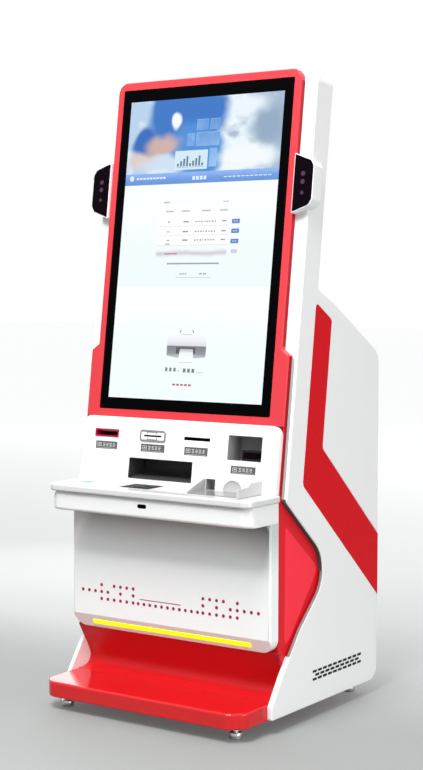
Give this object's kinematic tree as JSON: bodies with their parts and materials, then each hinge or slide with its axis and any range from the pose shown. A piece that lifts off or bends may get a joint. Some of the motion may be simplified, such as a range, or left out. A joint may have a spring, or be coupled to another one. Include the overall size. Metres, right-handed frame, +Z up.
{
  "type": "self-service banking terminal",
  "caption": "Free-standing self-service terminal with a tall leaning touch display, a control panel of slots, a shelf desk with a PIN pad, a scooped knee space and a rear service door.",
  "frame": {"origin": "on the floor, below the middle of the whole machine's bounding box", "axes": "+Z up, the user stands at -Y and the service door is at +Y, X runs across the width"},
  "size_m": [0.828, 0.777, 1.9559],
  "materials": {
    "white_panels": "smooth white gloss coat",
    "white_metal": "white powder coat on sheet steel",
    "red_metal": "satin red paint on sheet steel",
    "red_trim": "gloss red plastic",
    "black_plastic": "fine grained black plastic",
    "grey_plastic": "fine grained grey plastic",
    "steel": "brushed zinc plated steel",
    "key_metal": "brushed metal key caps",
    "chrome": "polished chrome plate",
    "front_glass": "black-backed gloss touch glass",
    "light_strip": "translucent yellow lamp cover",
    "paper": "matt white thermal paper"
  },
  "bodies": {
    "terminal": {"base_plinth": "red_metal", "foot_front_left": "chrome", "foot_front_right": "chrome", "foot_rear_left": "chrome", "foot_rear_right": "chrome", "knee_panel": "white_panels", "light_strip": "light_strip", "inner_wall_left": "red_metal", "inner_wall_right": "red_metal", "side_panel_left": "white_panels", "side_panel_right": "white_panels", "side_stripe_left": "red_trim", "side_stripe_right": "red_trim", "cabinet_top_cover": "white_metal", "power_panel": "white_metal", "desk_top": "white_panels", "desk_apron": "white_panels", "pickup_tray": "grey_plastic", "head_shell": "white_panels", "head_rear_cover": "white_metal", "display_bezel": "red_trim", "display_glass": "front_glass", "lcd_module": "steel", "camera_housing_left": "white_panels", "camera_housing_right": "white_panels", "camera_window_left": "black_plastic", "camera_window_right": "black_plastic", "control_panel": "white_panels", "receipt_bezel": "red_trim", "receipt_printer": "black_plastic", "card_bezel": "grey_plastic", "card_reader": "black_plastic", "barcode_scanner": "black_plastic", "a4_chute": "black_plastic", "a4_printer": "grey_plastic", "pin_pad_frame": "black_plastic", "equipment_shelf": "steel", "computer": "black_plastic", "power_unit": "steel"},
    "key_01_body": {"key_01": "key_metal"},
    "key_02_body": {"key_02": "key_metal"},
    "key_03_body": {"key_03": "key_metal"},
    "key_04_body": {"key_04": "key_metal"},
    "key_05_body": {"key_05": "key_metal"},
    "key_06_body": {"key_06": "key_metal"},
    "key_07_body": {"key_07": "key_metal"},
    "key_08_body": {"key_08": "key_metal"},
    "key_09_body": {"key_09": "key_metal"},
    "key_10_body": {"key_10": "key_metal"},
    "key_11_body": {"key_11": "key_metal"},
    "key_12_body": {"key_12": "key_metal"},
    "key_13_body": {"key_13": "key_metal"},
    "key_14_body": {"key_14": "key_metal"},
    "key_15_body": {"key_15": "key_metal"},
    "key_16_body": {"key_16": "key_metal"},
    "rear_door_body": {"rear_door": "white_metal"},
    "door_lock_body": {"door_lock": "chrome"},
    "receipt_roll_body": {"receipt_roll": "paper"},
    "fan_rotor_body": {"fan_rotor": "black_plastic"},
    "power_switch_body": {"power_switch": "black_plastic"}
  },
  "joints": [
    {"name": "rear_door_hinge", "type": "hinge", "parent": "terminal", "child": "rear_door_body", "pos_m": [-0.3645, 0.3845, 0.601], "axis": [0, 0, 1], "range_deg": [0, 110]},
    {"name": "door_lock_turn", "type": "hinge", "parent": "rear_door_body", "child": "door_lock_body", "pos_m": [0.335, 0.377, 0.6], "axis": [0, -1, 0], "range_deg": [0, 90]},
    {"name": "receipt_roll_turn", "type": "hinge", "parent": "terminal", "child": "receipt_roll_body", "pos_m": [-0.266, -0.08523, 0.80231], "axis": [1, 0, 0], "continuous": true},
    {"name": "fan_turn", "type": "hinge", "parent": "terminal", "child": "fan_rotor_body", "pos_m": [0, 0.02755, 1.57923], "axis": [0, 0.9914, -0.131], "continuous": true},
    {"name": "power_switch_tip", "type": "hinge", "parent": "terminal", "child": "power_switch_body", "pos_m": [0.28, 0.377, 0.122], "axis": [-1, 0, 0], "range_deg": [0, 12]},
    {"name": "key_01_press", "type": "slide", "parent": "terminal", "child": "key_01_body", "axis": [0, 0, -1], "range_m": [0, 0.0012], "stiffness_N_per_m": 800},
    {"name": "key_02_press", "type": "slide", "parent": "terminal", "child": "key_02_body", "axis": [0, 0, -1], "range_m": [0, 0.0012], "stiffness_N_per_m": 800},
    {"name": "key_03_press", "type": "slide", "parent": "terminal", "child": "key_03_body", "axis": [0, 0, -1], "range_m": [0, 0.0012], "stiffness_N_per_m": 800},
    {"name": "key_04_press", "type": "slide", "parent": "terminal", "child": "key_04_body", "axis": [0, 0, -1], "range_m": [0, 0.0012], "stiffness_N_per_m": 800},
    {"name": "key_05_press", "type": "slide", "parent": "terminal", "child": "key_05_body", "axis": [0, 0, -1], "range_m": [0, 0.0012], "stiffness_N_per_m": 800},
    {"name": "key_06_press", "type": "slide", "parent": "terminal", "child": "key_06_body", "axis": [0, 0, -1], "range_m": [0, 0.0012], "stiffness_N_per_m": 800},
    {"name": "key_07_press", "type": "slide", "parent": "terminal", "child": "key_07_body", "axis": [0, 0, -1], "range_m": [0, 0.0012], "stiffness_N_per_m": 800},
    {"name": "key_08_press", "type": "slide", "parent": "terminal", "child": "key_08_body", "axis": [0, 0, -1], "range_m": [0, 0.0012], "stiffness_N_per_m": 800},
    {"name": "key_09_press", "type": "slide", "parent": "terminal", "child": "key_09_body", "axis": [0, 0, -1], "range_m": [0, 0.0012], "stiffness_N_per_m": 800},
    {"name": "key_10_press", "type": "slide", "parent": "terminal", "child": "key_10_body", "axis": [0, 0, -1], "range_m": [0, 0.0012], "stiffness_N_per_m": 800},
    {"name": "key_11_press", "type": "slide", "parent": "terminal", "child": "key_11_body", "axis": [0, 0, -1], "range_m": [0, 0.0012], "stiffness_N_per_m": 800},
    {"name": "key_12_press", "type": "slide", "parent": "terminal", "child": "key_12_body", "axis": [0, 0, -1], "range_m": [0, 0.0012], "stiffness_N_per_m": 800},
    {"name": "key_13_press", "type": "slide", "parent": "terminal", "child": "key_13_body", "axis": [0, 0, -1], "range_m": [0, 0.0012], "stiffness_N_per_m": 800},
    {"name": "key_14_press", "type": "slide", "parent": "terminal", "child": "key_14_body", "axis": [0, 0, -1], "range_m": [0, 0.0012], "stiffness_N_per_m": 800},
    {"name": "key_15_press", "type": "slide", "parent": "terminal", "child": "key_15_body", "axis": [0, 0, -1], "range_m": [0, 0.0012], "stiffness_N_per_m": 800},
    {"name": "key_16_press", "type": "slide", "parent": "terminal", "child": "key_16_body", "axis": [0, 0, -1], "range_m": [0, 0.0012], "stiffness_N_per_m": 800}
  ]
}
